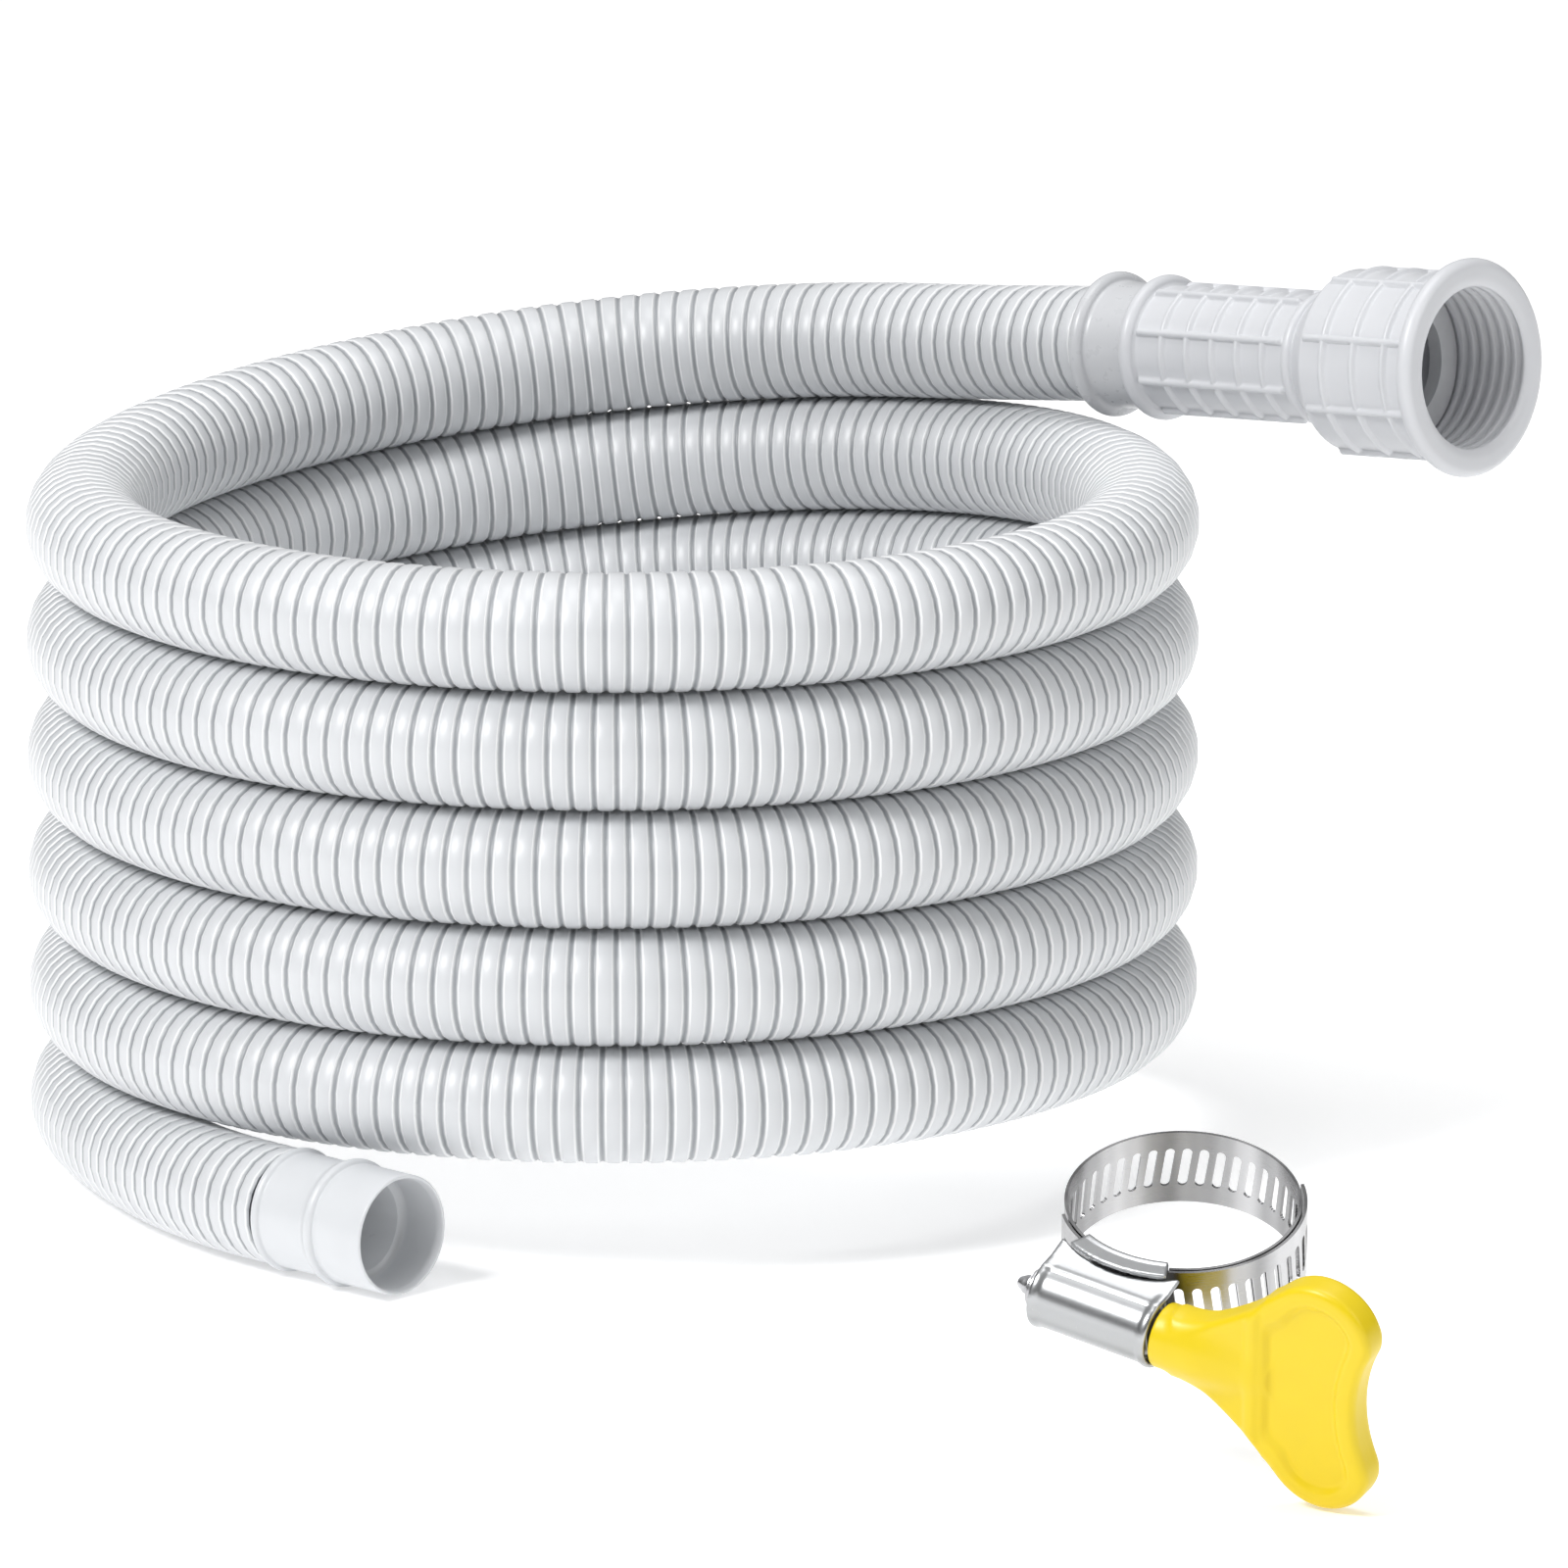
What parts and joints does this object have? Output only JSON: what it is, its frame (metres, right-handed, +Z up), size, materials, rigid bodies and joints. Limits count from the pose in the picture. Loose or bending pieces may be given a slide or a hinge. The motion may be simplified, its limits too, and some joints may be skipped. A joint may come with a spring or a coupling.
{
  "type": "drain hose kit",
  "caption": "Coiled ribbed drain hose with a threaded swivel coupling and a plain push-on cuff, and a loose worm-drive clamp with a wing key.",
  "frame": {"origin": "middle of the kit's footprint, on the surface it lies on", "axes": "+Z up along the coil's axis, +Y from the loose clamp towards the coil (away from the viewer), +X to the right, towards the coupling's mouth"},
  "size_m": [0.2467, 0.3398, 0.1496],
  "materials": {
    "hose": "semi-gloss light grey polyethylene, ribbed all round",
    "collar_plastic": "smooth satin grey plastic",
    "coupling_plastic": "satin light grey moulded plastic with raised ribs",
    "cuff_plastic": "smooth satin off-white grey plastic",
    "insert_plastic": "plain moulded plastic, hidden",
    "seal_rubber": "smooth black rubber, hidden",
    "washer_rubber": "plain pale grey rubber, down inside the mouth",
    "spring_steel": "plain steel, hidden",
    "stainless_band": "bright stainless strip with a fine lengthwise grain",
    "stainless_housing": "satin pressed stainless steel",
    "screw_steel": "plain turned steel",
    "key_plastic": "satin bright yellow moulded plastic"
  },
  "bodies": {
    "hose": {"hose_coil": "hose", "hose_lead": "hose", "hose_tail": "hose", "plain_cuff": "cuff_plastic", "hose_collar": "collar_plastic", "spigot_insert": "insert_plastic", "retaining_clip": "spring_steel", "o_ring_rear": "seal_rubber", "o_ring_front": "seal_rubber"},
    "coupling": {"swivel_coupling": "coupling_plastic", "sealing_washer": "washer_rubber"},
    "clamp": {"clamp_band": "stainless_band", "clamp_saddle": "stainless_housing", "screw_housing": "stainless_housing"},
    "screw": {"worm_screw": "screw_steel", "tip_collar": "screw_steel", "wing_key": "key_plastic"},
    "band_end": {"band_free_end": "stainless_band"}
  },
  "joints": [
    {"name": "coupling_swivel", "type": "hinge", "parent": "hose", "child": "coupling", "pos_m": [0.0552, 0.1165, 0.1258], "axis": [0.7522, -0.6539, 0.0819], "continuous": true},
    {"name": "clamp_lift", "type": "slide", "parent": "hose", "child": "clamp", "axis": [0, 0, 1], "range_m": [0, 0.15]},
    {"name": "screw_spin", "type": "hinge", "parent": "clamp", "child": "screw", "pos_m": [0.04874, -0.1387, 0.02763], "axis": [0.848, -0.493, -0.1942], "range_deg": [-1080, 720]},
    {"name": "band_travel", "type": "hinge", "parent": "clamp", "child": "band_end", "pos_m": [0.0613, -0.12, 0.035], "axis": [0, -0.3665, 0.9304], "range_deg": [-17.2, 25.8]}
  ],
  "couplings": [
    {"joint": "band_travel", "follows": "screw_spin", "ratio": -0.02381}
  ]
}
